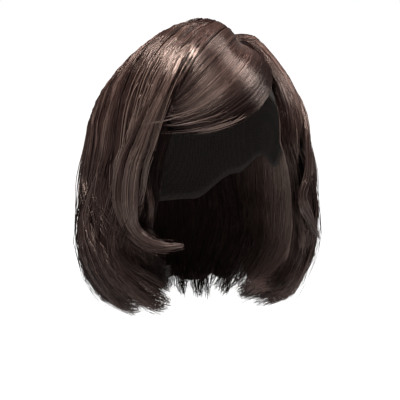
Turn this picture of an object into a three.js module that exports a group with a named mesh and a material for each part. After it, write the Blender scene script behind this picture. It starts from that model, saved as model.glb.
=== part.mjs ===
// Wig: a chin-to-shoulder wavy bob with a side parting and a fringe swept across the forehead.
// A thin net cap carries it, and each section of hair is a wall of fused locks that hangs from the cap.
// Millimetres, +Z up, face towards -Y, the wearer's left at +X.
// The origin is where the top of the wearer's head meets the inside of the cap.
import * as THREE from "three";

const { degToRad, lerp, smoothstep } = THREE.MathUtils;
const TURN = 2 * Math.PI;

/** A table's rows as objects, with the columns' names in order. */
function table(columns, rows) {
  const names = columns.split(" ");
  return rows.map((row) => Object.fromEntries(names.map((name, i) => [name, row[i]])));
}

// The head that the cap is shaped on: a squarish egg about a point level with the temples.
const HEAD = { halfWidth: 74, front: 91, back: 99, rise: 92, fall: 128, squareness: 2.06 };
const HEAD_CENTRE = new THREE.Vector3(0, 0, -HEAD.rise);

// Heights above the head's surface, from the cap out to the hair's roots.
const CAP_THICK = 1.5;
const STRIP_UNDER = 1.9;
const STRIP_OVER = 2.7;
const HAIR_UNDER = 2.8;
const ROOT_OVER = 6;

// The parting, on plan, from where the fringe fans out forwards back to the crown.
const PARTING = { frontX: 26, frontY: -26, crownX: 21, crownY: 26, rootOffset: 2.4 };
const STRIP_HALF_WIDTH = 1.7;
const STRIP_STEPS = 14;

// How a section changes down its length, which is 1. It lies on the head as far as its dome share.
// rises: share of the dome where it reaches its lift. late: how late it goes on from there to its stand.
// ridges: where its locks begin and are full.
// thins, tapers: shares of the hanging part where the wall has its own thickness, and thins to its tips.
// drift: how soon it swings from its azimuth at the temples to that of its tip.
// The curl's turn is in degrees, and its length is for each mm of its drop.
const HANG = { dome: 0.38, rises: 0.2, late: 1.6, ridges: [0.15, 0.6], thins: 0.4, tapers: 0.75, drift: 3 };
const CURL = { turn: 100, length: 1.2 };
const TIP_THICK = 3;
const VALLEY_SHORTER = 0.05;
const CREST_ROUND = 0.8;
const SECTION_GAP = 0.8;

// Small steps, across the guides and down them, that give the hair's slopes.
const STEP = { across: 0.1, down: 0.01 };

const HAIR = { color: 0x43332c, roughness: 0.35, metalness: 0 };
const NET = { color: 0x2b211d, roughness: 0.9, metalness: 0 };
const SCALP = { color: 0xb99a86, roughness: 0.7, metalness: 0 };

// The hanging hair, one row for each guide strand, from the right cheek round the back to the left cheek.
// The first and last rows stand ahead of the sections, and only the loose locks reach them.
// root: share of the parting where it starts. leave, tip: azimuth at the temples' height and at the end.
// lift, stand, flare: mm off the head over the crown, at the temples' height, and more at the fullest place.
// curlZ: where the ends begin to turn in. drop, turnIn: the curl's height and depth. wall: thickness.
const GUIDES = table("root leave tip lift stand flare curlZ drop turnIn wall", [
  [0.14,  -38,  -40, 15,  7, -1, -160, 40, 12,  6],
  [0.18,  -54,  -62, 21, 11,  5, -162, 50, 22,  8],
  [ 0.4,  -62,  -69, 22, 17, 11, -168, 60, 32, 13],
  [ 0.6,  -76,  -80, 20, 20, 14, -174, 63, 36, 16],
  [0.82,  -96,  -98, 12, 24,  8, -176, 66, 38, 17],
  [   1, -116, -117,  6, 25,  6, -176, 70, 38, 17],
  [   1, -138, -138,  7, 23,  6, -180, 68, 37, 16],
  [   1, -160, -160,  9, 18, 10, -186, 66, 36, 15],
  [   1, -180, -180,  9, 17,  9, -186, 64, 36, 15],
  [   1, -200, -200,  9, 18, 10, -186, 66, 36, 15],
  [   1, -222, -222, 10, 20, 13, -182, 68, 38, 16],
  [   1, -244, -243, 13, 22, 12, -173, 75, 42, 17],
  [0.84, -264, -262, 16, 23, 11, -162, 83, 47, 17],
  [ 0.6, -286, -281, 19, 22,  9, -154, 89, 48, 16],
  [0.36, -308, -294, 16, 19,  8, -154, 85, 42, 12],
  [ 0.2, -328, -303,  9, 12,  5, -158, 72, 28,  8],
  [0.12, -338, -320,  8,  7, -1, -168, 40, 12,  6],
]);

// Where each section of the hanging hair begins and ends in that table, and its locks.
// share: width beside its neighbours. longer: mm past the section's edge. proud: mm above its valleys.
const SECTIONS = [
  {
    name: "side_right", from: 1, to: 5,
    locks: table("share longer proud", [
      [0.8, -6, 3.0],
      [1.1,  2, 4.5],
      [0.9, -3, 3.5],
      [1.2,  4, 5.0],
      [0.9,  0, 4.0],
    ]),
  },
  {
    name: "back", from: 5, to: 11,
    locks: table("share longer proud", [
      [1.1,  3, 4.5],
      [0.9, -2, 3.5],
      [1.2,  2, 4.5],
      [0.9, -4, 3.5],
      [1.1,  3, 4.5],
      [0.9,  0, 4.0],
    ]),
  },
  {
    name: "side_left", from: 11, to: 15,
    locks: table("share longer proud", [
      [1.0,  0, 4.0],
      [1.2,  4, 5.0],
      [0.9, -3, 3.5],
      [1.0,  2, 4.5],
      [0.8, -6, 3.0],
    ]),
  },
];
const LOCK_COLUMNS = 4;
const HANG_STEPS = 17;

// The S-wave that the hanging locks share, across the strand and off the head.
const WAVE = { sideways: 3.2, outward: 1.5, turns: 1.35, begins: 0.05, full: 0.45, lag: 0.16 };

// The fringe, from its free lower edge up to the right section, under whose front strand it is tucked.
// root: share of the parting. bow, rise: azimuth and rise of the point that it swings out towards.
// low, fall: those of the point that it sweeps back down towards.
// end: share of that front strand over the head, where it is tucked in. off: mm off the head.
const FRINGE = table("root bow rise low fall end off", [
  [   0, 66, 0.64,   2, -0.07, 0.92,  9],
  [0.04, 52, 0.58, -24,  0.03, 0.88, 13],
  [0.08, 27, 0.63, -37,  0.15, 0.83, 16],
  [0.12,  2, 0.70, -42,  0.30, 0.77, 17],
  [0.16,  1, 0.90, -30,  0.71, 0.70, 17],
]);
const FRINGE_SHAPE = { reach: 0.98, lifts: 0.35, ridges: [0.1, 0.6], thickens: 0.4, tapers: 0.8, thick: 7 };
const FRINGE_LOCKS = table("share longer proud", [
  [1.0, 0, 2.0],
  [1.1, 0, 2.5],
  [0.9, 0, 2.0],
  [0.8, 0, 1.5],
]);
const FRINGE_STEPS = 13;

// The lock that frames the right cheek, and the wave at the left that flicks out, a row for each station.
// place: across the guides. along: share of the guide. off: mm of air under the lock.
const LOOSE_LOCKS = {
  front_lock_right: table("place along off wide thick", [
    [  1.8, 0.288, 1.5,  6, 2.5],
    [ 2.06, 0.342,   2, 16,   5],
    [ 2.27,   0.4,   2, 23,   6],
    [ 2.24, 0.474,   2, 27,   6],
    [ 2.16,  0.54,   2, 28,   6],
    [ 1.93, 0.602,   2, 26,   6],
    [ 1.48,  0.67,   2, 22,   6],
    [ 1.16,  0.72,   2, 18,   6],
    [ 0.92, 0.754, 1.8, 15, 5.5],
    [ 0.74,  0.78, 1.4, 13,   5],
    [ 0.56,   0.8, 0.8, 10,   4],
    [ 0.32, 0.816,   0,  7,   3],
    [-0.17, 0.824,  -2,  3,   2],
  ]),
  flick_left: table("place along off wide thick", [
    [ 14.3,  0.38, 0.8,  5, 2.5],
    [14.65,  0.45, 0.8, 14,   4],
    [ 15.1,  0.53, 0.8, 16,   5],
    [ 15.4, 0.595, 0.8, 16,   5],
    [15.35, 0.645,   1, 14,   5],
    [15.05, 0.675, 1.8, 11,   4],
    [14.65,  0.69,   4,  7,   3],
    [ 14.3,   0.7,   6,  3,   2],
  ]),
};
const LOCK_CREST = 5;
const LOCK_SIDES = 8;
const LOCK_STEPS = 22;

// The cap's edge, a row for each bend from the forehead round to the nape, the same on both sides.
const CAP_EDGE = table("azimuth z", [
  [  0,  -38],
  [ 22,  -42],
  [ 42,  -62],
  [ 62,  -84],
  [ 78, -122],
  [ 96, -112],
  [118, -132],
  [150, -158],
  [180, -160],
]);
const CAP_COLUMNS = 36;
const CAP_ROWS = 9;

// Plain helpers

/** The unit direction at an azimuth from the face, in degrees, and a rise from -1, below, to 1, above. */
function direction(azimuth, rise) {
  const a = degToRad(azimuth);
  const level = Math.sqrt(1 - rise * rise);
  return new THREE.Vector3(level * Math.sin(a), -level * Math.cos(a), rise);
}

/** The point that lies a distance out from the head's surface, in a direction from the head's middle. */
function headPoint(dir, out) {
  const p = HEAD.squareness;
  const norm = (Math.abs(dir.x) ** p + Math.abs(dir.y) ** p + Math.abs(dir.z) ** p) ** (1 / p);
  const half = [HEAD.halfWidth, dir.y < 0 ? HEAD.front : HEAD.back, dir.z > 0 ? HEAD.rise : HEAD.fall];
  const unit = dir.toArray().map((d) => d / norm);
  const normal = new THREE.Vector3(...unit.map((u, i) => (Math.sign(u) * Math.abs(u) ** (p - 1)) / half[i]));
  const surface = new THREE.Vector3(...unit.map((u, i) => u * half[i]));
  return surface.addScaledVector(normal.normalize(), out).add(HEAD_CENTRE);
}

/** The point a distance out from the head's widest ring, at an azimuth and a height of its own. */
function ringPoint(azimuth, z, out) {
  return headPoint(direction(azimuth, 0), out).setZ(z);
}

/** The direction from the head's middle to a point of its upper surface, given on plan. */
function directionOnPlan(x, y) {
  const p = HEAD.squareness;
  const dx = x / HEAD.halfWidth;
  const dy = y / (y < 0 ? HEAD.front : HEAD.back);
  const dz = Math.max(0, 1 - Math.abs(dx) ** p - Math.abs(dy) ** p) ** (1 / p);
  return new THREE.Vector3(dx, dy, dz).normalize();
}

function slerp(a, b, t) {
  const angle = a.angleTo(b);
  if (angle < 1e-6) return a.clone();
  const share = (x) => Math.sin(x * angle) / Math.sin(angle);
  return a.clone().multiplyScalar(share(1 - t)).addScaledVector(b, share(t));
}

/** A curve over the head from the first direction to the last, drawn towards those between. */
function headCurve(dirs, t) {
  if (dirs.length === 1) return dirs[0];
  return headCurve(dirs.slice(1).map((dir, i) => slerp(dirs[i], dir, t)), t);
}

/** A row between the rows of a table, each number carried on a smooth curve through its column. */
function rowAt(rows, place) {
  const i = Math.max(0, Math.min(Math.floor(place), rows.length - 2));
  const t = place - i;
  const near = (k) => rows[Math.max(0, Math.min(rows.length - 1, i + k))];
  const row = {};
  for (const key of Object.keys(rows[0])) {
    const [a, b, c, d] = [-1, 0, 1, 2].map((k) => near(k)[key]);
    row[key] = b + 0.5 * t * (c - a + t * (2 * a - 5 * b + 4 * c - d + t * (3 * (b - c) + d - a)));
  }
  return row;
}

// Strands of hair

/** Where a strand leaves the parting, or the crown for the hair at the back. */
function rootDirection(share, side) {
  const a = degToRad(side);
  const x = lerp(PARTING.frontX, PARTING.crownX, share) + PARTING.rootOffset * Math.sin(a);
  const y = lerp(PARTING.frontY, PARTING.crownY, share) - PARTING.rootOffset * Math.cos(a);
  return directionOnPlan(x, y);
}

/** A point of the hanging hair: along the strand from 0 to 1, and from 0 to 1 of the way in through it. */
function hangingPoint(guide, along, depth, proud) {
  const ridge = proud * smoothstep(along, ...HANG.ridges);
  if (along < HANG.dome) {
    const t = along / HANG.dome;
    const side = Math.min(-90, Math.max(-270, guide.leave));
    const dir = slerp(rootDirection(guide.root, side), direction(guide.leave, 0), t);
    const risen = lerp(ROOT_OVER, guide.lift, smoothstep(t, 0, HANG.rises));
    const outer = risen + (guide.stand - guide.lift) * smoothstep(t, HANG.rises, 1) ** HANG.late + ridge;
    return headPoint(dir, lerp(outer, HAIR_UNDER, depth));
  }
  const w = (along - HANG.dome) / (1 - HANG.dome);
  const plumb = -HEAD.rise - guide.curlZ;
  const straight = plumb / (plumb + CURL.length * guide.drop);
  const fallen = Math.min(w / straight, 1);
  const turned = (Math.max(w - straight, 0) / (1 - straight)) * degToRad(CURL.turn);
  const swing = TURN * (WAVE.turns * w + WAVE.lag * Math.sin(degToRad(3 * guide.leave)));
  const swell = smoothstep(w, WAVE.begins, WAVE.full);
  const drifted = lerp(guide.leave, guide.tip, 1 - (1 - w) ** HANG.drift);
  const wall = lerp(guide.stand - HAIR_UNDER, guide.wall, smoothstep(w, 0, HANG.thins));
  const thick = lerp(wall, TIP_THICK, smoothstep(w, HANG.tapers, 1));
  const bulge = guide.flare * Math.sin((fallen * Math.PI) / 2) + WAVE.outward * swell * Math.cos(swing);
  const inset = depth * (thick + ridge) - ridge;
  const across = Math.cos(turned) / guide.turnIn;
  const downward = Math.sin(turned) / guide.drop;
  const slope = Math.hypot(across, downward);
  const out = guide.stand + bulge - guide.turnIn * (1 - Math.cos(turned)) - (inset * across) / slope;
  const raised = (inset * downward) / slope;
  const z = lerp(-HEAD.rise, guide.curlZ, fallen) - guide.drop * Math.sin(turned) + raised;
  return ringPoint(drifted + WAVE.sideways * swell * Math.sin(swing), z, out);
}

/** A point of the fringe, along the strand and down through its thickness. */
function fringePoint(guide, along, depth, proud) {
  const shape = FRINGE_SHAPE;
  const front = GUIDES[SECTIONS[0].from];
  const start = rootDirection(guide.root, -90);
  const end = slerp(rootDirection(front.root, -90), direction(front.leave, 0), guide.end);
  const towards = [direction(guide.bow, guide.rise), direction(guide.low, guide.fall)];
  const dir = headCurve([start, ...towards, end], shape.reach * along);
  const ridge = proud * smoothstep(along, ...shape.ridges);
  const outer = lerp(ROOT_OVER, guide.off, smoothstep(along, 0, shape.lifts)) + ridge;
  const thick = lerp(ROOT_OVER - HAIR_UNDER, shape.thick, smoothstep(along, 0, shape.thickens));
  return headPoint(dir, outer - depth * (lerp(thick, TIP_THICK, smoothstep(along, shape.tapers, 1)) + ridge));
}

// Solids

/** A closed body between two grids of points that share their edges' order: an outer and an inner surface. */
function wallBetween(outer, inner) {
  const columns = outer.length;
  const rows = outer[0].length;
  const points = [...outer.flat(), ...inner.flat()];
  const at = (side, i, j) => side * columns * rows + i * rows + j;
  const faces = [];
  const quad = (a, b, c, d) => faces.push(a, b, c, a, c, d);
  for (let i = 0; i + 1 < columns; i++) {
    for (let j = 0; j + 1 < rows; j++) {
      quad(at(0, i, j), at(0, i + 1, j), at(0, i + 1, j + 1), at(0, i, j + 1));
      quad(at(1, i, j), at(1, i, j + 1), at(1, i + 1, j + 1), at(1, i + 1, j));
    }
    quad(at(1, i, 0), at(1, i + 1, 0), at(0, i + 1, 0), at(0, i, 0));
    quad(at(0, i, rows - 1), at(0, i + 1, rows - 1), at(1, i + 1, rows - 1), at(1, i, rows - 1));
  }
  for (let j = 0; j + 1 < rows; j++) {
    quad(at(0, 0, j), at(0, 0, j + 1), at(1, 0, j + 1), at(1, 0, j));
    quad(at(0, columns - 1, j + 1), at(0, columns - 1, j), at(1, columns - 1, j), at(1, columns - 1, j + 1));
  }
  return bodyOf(points, faces);
}

/** A geometry of points and triangles, turned so that its faces point out. */
function bodyOf(points, faces) {
  let volume = 0;
  const cross = new THREE.Vector3();
  for (let i = 0; i < faces.length; i += 3) {
    volume += points[faces[i]].dot(cross.crossVectors(points[faces[i + 1]], points[faces[i + 2]]));
  }
  const facingOut = volume > 0 ? faces : faces.toReversed();
  return new THREE.BufferGeometry().setFromPoints(points).setIndex(facingOut);
}

/** The columns of a section: each one's place across the guides, and its lock's height and length there. */
function lockColumns(locks, from, to) {
  const total = locks.reduce((sum, lock) => sum + lock.share, 0);
  const columns = [];
  let begun = 0;
  locks.forEach((lock, n) => {
    for (let k = 0; k < LOCK_COLUMNS + (n === locks.length - 1 ? 1 : 0); k++) {
      const across = k / LOCK_COLUMNS;
      const crest = Math.sin(Math.PI * across) ** CREST_ROUND;
      const place = lerp(from, to, (begun + across * lock.share) / total);
      columns.push({ place, proud: lock.proud * crest, longer: lock.longer * crest, crest });
    }
    begun += lock.share;
  });
  return columns;
}

/** A wall of fused locks: strandPoint gives its points, and its two side edges stand back by half a gap. */
function hairWall(guides, locks, from, to, steps, strandPoint) {
  const columns = lockColumns(locks, from, to);
  const grid = (depth) =>
    columns.map(({ place, proud, longer, crest }, i) =>
      Array.from({ length: steps }, (_, j) => {
        const along = (j / (steps - 1)) * (1 - VALLEY_SHORTER * (1 - crest));
        const guide = rowAt(guides, place);
        if (guide.drop) guide.drop += longer;
        const point = strandPoint(guide, along, depth, proud);
        if (i > 0 && i + 1 < columns.length) return point;
        const inward = i === 0 ? STEP.across : -STEP.across;
        const neighbour = strandPoint(rowAt(guides, place + inward), along, depth, proud);
        return point.addScaledVector(neighbour.sub(point).normalize(), SECTION_GAP / 2);
      }),
    );
  return wallBetween(grid(0), grid(1));
}

/** The direction out of the hair's surface at a station of a loose lock. */
function hairNormal({ place, along }) {
  const near = (across, down) => hangingPoint(rowAt(GUIDES, place + across), along + down, 0, LOCK_CREST);
  const across = near(STEP.across, 0).sub(near(-STEP.across, 0));
  const down = near(0, STEP.down).sub(near(0, -STEP.down));
  return across.cross(down).normalize();
}

/** The middle of a loose lock at a station, clear of the crests of the section under it. */
function lockCentre(station) {
  const surface = hangingPoint(rowAt(GUIDES, station.place), station.along, 0, LOCK_CREST);
  return surface.addScaledVector(hairNormal(station), station.off + station.thick / 2);
}

/** A flat lock with tapered ends, carried along the stations of its table. */
function taperedLock(stations) {
  const rings = Array.from({ length: LOCK_STEPS }, (_, j) => {
    const place = (j / (LOCK_STEPS - 1)) * (stations.length - 1);
    const stationAt = (s) => rowAt(stations, Math.max(0, Math.min(stations.length - 1, s)));
    const { wide, thick } = stationAt(place);
    const centre = lockCentre(stationAt(place));
    const [before, after] = [-STEP.across, STEP.across].map((step) => lockCentre(stationAt(place + step)));
    const along = after.sub(before).normalize();
    const across = new THREE.Vector3().crossVectors(along, hairNormal(stationAt(place))).normalize();
    const normal = new THREE.Vector3().crossVectors(across, along);
    return Array.from({ length: LOCK_SIDES }, (_, k) => {
      const a = (TURN * k) / LOCK_SIDES;
      const point = centre.clone().addScaledVector(across, (wide / 2) * Math.cos(a));
      return point.addScaledVector(normal, (thick / 2) * Math.sin(a));
    });
  });
  const at = (j, k) => j * LOCK_SIDES + (k % LOCK_SIDES);
  const faces = [];
  for (let j = 0; j + 1 < LOCK_STEPS; j++) {
    for (let k = 0; k < LOCK_SIDES; k++) {
      faces.push(at(j, k), at(j, k + 1), at(j + 1, k + 1), at(j, k), at(j + 1, k + 1), at(j + 1, k));
    }
  }
  for (let k = 1; k + 1 < LOCK_SIDES; k++) {
    faces.push(at(0, 0), at(0, k + 1), at(0, k));
    faces.push(at(LOCK_STEPS - 1, 0), at(LOCK_STEPS - 1, k), at(LOCK_STEPS - 1, k + 1));
  }
  return bodyOf(rings.flat(), faces);
}

/** The cap's edge height at any azimuth, eased from bend to bend. */
function capEdge(azimuth) {
  const a = Math.abs(azimuth);
  const i = CAP_EDGE.findIndex((_, k) => k + 1 === CAP_EDGE.length - 1 || a <= CAP_EDGE[k + 1].azimuth);
  const [low, high] = [CAP_EDGE[i], CAP_EDGE[i + 1]];
  return lerp(low.z, high.z, smoothstep(a, low.azimuth, high.azimuth));
}

/** The net cap: a thin dome from the top of the head down to its shaped edge. */
function capBody() {
  const riseOf = (z) => (z + HEAD.rise) / (z + HEAD.rise > 0 ? HEAD.rise : HEAD.fall);
  const grid = (out) =>
    Array.from({ length: CAP_COLUMNS }, (_, i) => {
      const azimuth = -180 + (360 * i) / CAP_COLUMNS;
      const lowest = Math.acos(riseOf(capEdge(azimuth)));
      return Array.from({ length: CAP_ROWS }, (_, j) =>
        headPoint(direction(azimuth, Math.cos((lowest * (j + 1)) / CAP_ROWS)), out),
      );
    });
  const [inner, outer] = [grid(0), grid(CAP_THICK)];
  const top = direction(0, 1);
  const points = [...outer.flat(), ...inner.flat(), headPoint(top, CAP_THICK), headPoint(top, 0)];
  const at = (side, i, j) => (side * CAP_COLUMNS + (i % CAP_COLUMNS)) * CAP_ROWS + j;
  const [outerTop, innerTop] = [points.length - 2, points.length - 1];
  const faces = [];
  const quad = (a, b, c, d) => faces.push(a, b, c, a, c, d);
  for (let i = 0; i < CAP_COLUMNS; i++) {
    faces.push(outerTop, at(0, i + 1, 0), at(0, i, 0), innerTop, at(1, i, 0), at(1, i + 1, 0));
    for (let j = 0; j + 1 < CAP_ROWS; j++) {
      quad(at(0, i, j), at(0, i + 1, j), at(0, i + 1, j + 1), at(0, i, j + 1));
      quad(at(1, i, j), at(1, i, j + 1), at(1, i + 1, j + 1), at(1, i + 1, j));
    }
    const last = CAP_ROWS - 1;
    quad(at(0, i, last), at(0, i + 1, last), at(1, i + 1, last), at(1, i, last));
  }
  return bodyOf(points, faces);
}

/** The scalp-coloured strip that shows in the parting. */
function partingStrip() {
  const grid = (out) =>
    [-1, 0, 1].map((side) =>
      Array.from({ length: STRIP_STEPS }, (_, j) => {
        const share = j / (STRIP_STEPS - 1);
        const x = lerp(PARTING.frontX, PARTING.crownX, share) + side * STRIP_HALF_WIDTH;
        return headPoint(directionOnPlan(x, lerp(PARTING.frontY, PARTING.crownY, share)), out);
      }),
    );
  return wallBetween(grid(STRIP_OVER), grid(STRIP_UNDER));
}

// Assembly

const wig = new THREE.Group();

function addPiece(name, geometry, finish) {
  const piece = new THREE.Mesh(geometry, new THREE.MeshStandardMaterial(finish));
  piece.name = name;
  wig.add(piece);
}

addPiece("cap", capBody(), NET);
addPiece("parting_strip", partingStrip(), SCALP);
for (const { name, from, to, locks } of SECTIONS) {
  addPiece(name, hairWall(GUIDES, locks, from, to, HANG_STEPS, hangingPoint), HAIR);
}
addPiece("fringe", hairWall(FRINGE, FRINGE_LOCKS, 0, FRINGE.length - 1, FRINGE_STEPS, fringePoint), HAIR);
for (const [name, stations] of Object.entries(LOOSE_LOCKS)) {
  addPiece(name, taperedLock(stations), HAIR);
}

export default wig;
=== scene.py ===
# %% [markdown]
# # A wavy bob wig, dressed strand by strand
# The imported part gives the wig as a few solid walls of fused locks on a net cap. This lesson keeps those
# forms and dresses them: every wall becomes a dark mat of hair with thousands of fine tapered strands over
# it. All shapes are worked out in millimetres with numpy and go into Blender meshes in metres.

import bpy
import numpy as np
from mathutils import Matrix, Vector


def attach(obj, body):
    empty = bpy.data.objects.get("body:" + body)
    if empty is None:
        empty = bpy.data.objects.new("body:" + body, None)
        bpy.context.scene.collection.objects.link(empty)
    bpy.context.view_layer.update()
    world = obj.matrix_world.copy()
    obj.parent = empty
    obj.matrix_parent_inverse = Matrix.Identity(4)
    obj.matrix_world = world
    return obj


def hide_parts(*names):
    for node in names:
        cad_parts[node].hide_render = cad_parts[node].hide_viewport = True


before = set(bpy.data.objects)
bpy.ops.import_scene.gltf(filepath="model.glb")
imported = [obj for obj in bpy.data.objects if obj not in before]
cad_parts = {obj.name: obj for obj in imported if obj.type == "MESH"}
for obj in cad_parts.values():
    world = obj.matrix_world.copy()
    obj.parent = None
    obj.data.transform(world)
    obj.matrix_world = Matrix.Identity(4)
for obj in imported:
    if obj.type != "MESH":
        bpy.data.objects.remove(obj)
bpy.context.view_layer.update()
MM = 0.001
rng = np.random.default_rng(21)
print("nodes in the frame:", sorted(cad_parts))

# %% [markdown]
# ## The head that the wig is shaped on
# A cap is sewn on a wooden head block, so every height in a wig is a height above that block.
# The block is a squarish egg, and a direction from its middle plus a distance out gives any point over it.
# Working in directions, not in x and y, keeps strands from bunching where the head curves away.

# %% Head block
# The block's half width, its reach forwards, back, up and down from its middle in mm, and how square it is.
HALF_WIDTH, FRONT, BACK, RISE, FALL, SQUARENESS = 74, 91, 99, 92, 128, 2.06
HEAD_CENTRE = np.array([0, 0, -RISE])

# Mm above the block: the cap's outer face, the hair's inner face, and the hair's outer face at its roots.
CAP_THICK, HAIR_UNDER, ROOT_OVER = 1.5, 2.8, 6


def lerp(a, b, t):
    """The value a share t of the way from a to b."""
    return a + (b - a) * t


def smoothstep(x, low, high):
    """An ease from 0 at low to 1 at high: three times the share squared less twice its cube."""
    t = np.clip((x - low) / (high - low), 0, 1)
    return t * t * (3 - 2 * t)


def unit(v):
    """Vectors divided by their lengths."""
    return v / np.linalg.norm(v, axis=-1, keepdims=True)


def direction(azimuth, rise):
    """Unit directions at an azimuth from the face, in degrees, and a rise from -1, below, to 1, above."""
    a = np.radians(azimuth)
    level = np.sqrt(1 - np.square(rise))
    return np.stack(np.broadcast_arrays(level * np.sin(a), -level * np.cos(a), rise), -1)


def head_point(way, out):
    """The head's surface along a direction, and then out along the surface's own normal."""
    norm = (np.abs(way) ** SQUARENESS).sum(-1, keepdims=True) ** (1 / SQUARENESS)
    share = way / norm
    wide = np.full(way.shape[:-1], HALF_WIDTH)
    half = np.stack([wide, np.where(way[..., 1] < 0, FRONT, BACK), np.where(way[..., 2] > 0, RISE, FALL)], -1)
    normal = unit(np.sign(share) * np.abs(share) ** (SQUARENESS - 1) / half)
    return share * half + normal * np.asarray(out)[..., None] + HEAD_CENTRE


def ring_point(azimuth, z, out):
    """A point out from the head's widest ring, moved to a height of its own."""
    point = head_point(direction(azimuth, 0.0), out)
    point[..., 2] = z
    return point


def slerp(a, b, t):
    """Directions a share t of the way round the arc from a to b."""
    angle = np.maximum(np.arccos(np.clip((a * b).sum(-1), -1, 1)), 1e-6)[..., None]
    t = np.asarray(t)[..., None]
    return (np.sin((1 - t) * angle) * a + np.sin(t * angle) * b) / np.sin(angle)


def row_at(rows, place):
    """The columns of a table between its rows, on a Catmull-Rom curve through each column."""
    i = np.clip(np.floor(place).astype(int), 0, len(rows) - 2)
    t = (place - i)[..., None]
    a, b, c, d = (rows[np.clip(i + k, 0, len(rows) - 1)] for k in (-1, 0, 1, 2))
    row = b + 0.5 * t * (c - a + t * (2 * a - 5 * b + 4 * c - d + t * (3 * (b - c) + d - a)))
    return np.moveaxis(row, -1, 0)


print("head block", 2 * HALF_WIDTH, "by", FRONT + BACK, "mm")

# %% [markdown]
# ## How the hair hangs
# A stylist combs each section from the parting over the head, lets it hang and turns its ends in.
# A table of guide strands round the head says where each one leaves the head, how far it stands off it
# and where its ends curl. Any strand between two guides takes its numbers from a smooth curve through them.

# %% Guides of the hanging hair
# The x and y of the parting's two ends, how far beside it the hair is rooted, all in mm, and the azimuths
# of its left and right.
PARTING = {"front": (26, -26), "crown": (21, 26), "root_offset": 2.4}
LEFT, RIGHT = -270, -90

# The share of a strand that lies on the head, and the shares over which it rises, shows its lock's ridge,
# thins and tapers. LATE and DRIFT are the powers of two eases.
DOME, RISES, LATE, RIDGES, THINS, TAPERS, DRIFT = 0.38, 0.2, 1.6, (0.15, 0.6), 0.4, 0.75, 3

# How far the ends turn, the curl's length for each mm that it drops, and the wall's thickness at its tip.
CURL_TURN, CURL_LENGTH, TIP_THICK = np.radians(100), 1.2, 3

# The left side is combed up beside the parting: mm, the guides where that sets in, and where on the head.
COMBED_UP, COMBED_FROM, COMBED_RISES, COMBED_FALLS = 3.6, (11, 13), (0, 0.05), (0.06, 0.4)

# Waves: degrees sideways, mm outwards, turns, where they begin and are full, and their lag round the head.
SIDEWAYS, OUTWARD, TURNS, BEGINS, FULL, LAG, LAG_TURNS = 3.2, 1.5, 1.35, 0.05, 0.45, 0.16, 3

# Columns: root as a share of the parting, azimuths where the hair leaves the head and of its tip, then in
# mm its lift on the head, stand off it, flare, height where it curls, drop, turn in, and the wall's
# thickness.
GUIDES = np.array([
    [0.14, -38, -40, 15, 7, -1, -160, 40, 12, 6],
    [0.18, -54, -62, 21, 11, 5, -162, 50, 22, 8],
    [0.40, -62, -69, 22, 17, 11, -168, 60, 32, 13],
    [0.60, -76, -80, 20, 20, 14, -174, 63, 36, 16],
    [0.82, -96, -98, 12, 24, 8, -176, 66, 38, 17],
    [1.00, -116, -117, 6, 25, 6, -176, 70, 38, 17],
    [1.00, -138, -138, 7, 23, 6, -180, 68, 37, 16],
    [1.00, -160, -160, 9, 18, 10, -186, 66, 36, 15],
    [1.00, -180, -180, 9, 17, 9, -186, 64, 36, 15],
    [1.00, -200, -200, 9, 18, 10, -186, 66, 36, 15],
    [1.00, -222, -222, 10, 20, 13, -182, 68, 38, 16],
    [1.00, -244, -243, 13, 22, 12, -173, 75, 42, 17],
    [0.84, -264, -262, 16, 23, 11, -162, 83, 47, 17],
    [0.60, -286, -281, 19, 22, 9, -154, 89, 48, 16],
    [0.36, -308, -294, 16, 19, 8, -154, 85, 42, 12],
    [0.20, -328, -303, 9, 12, 5, -158, 72, 28, 8],
    [0.12, -338, -320, 8, 7, -1, -168, 40, 12, 6],
])


def root_direction(share, side, offset=PARTING["root_offset"]):
    """Where a strand leaves the parting: a point along its line, moved a little to the side that the strand
    is combed to, and raised to the head's surface."""
    a = np.radians(side)
    front, crown = np.array(PARTING["front"]), np.array(PARTING["crown"])
    x = lerp(front[0], crown[0], share) + offset * np.sin(a)
    y = lerp(front[1], crown[1], share) - offset * np.cos(a)
    dx, dy = x / HALF_WIDTH, y / np.where(y < 0, FRONT, BACK)
    dz = np.maximum(0, 1 - np.abs(dx) ** SQUARENESS - np.abs(dy) ** SQUARENESS) ** (1 / SQUARENESS)
    return unit(np.stack([dx, dy, dz], -1))


def leaning_over(place, lean):
    """The place whose tip lies where a strand's tip comes to when it leans by some degrees."""
    places, tips = np.arange(len(GUIDES)), GUIDES[:, 2]
    return np.where(lean == 0, place, np.interp(-np.interp(place, places, tips) - lean, -tips, places))


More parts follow.
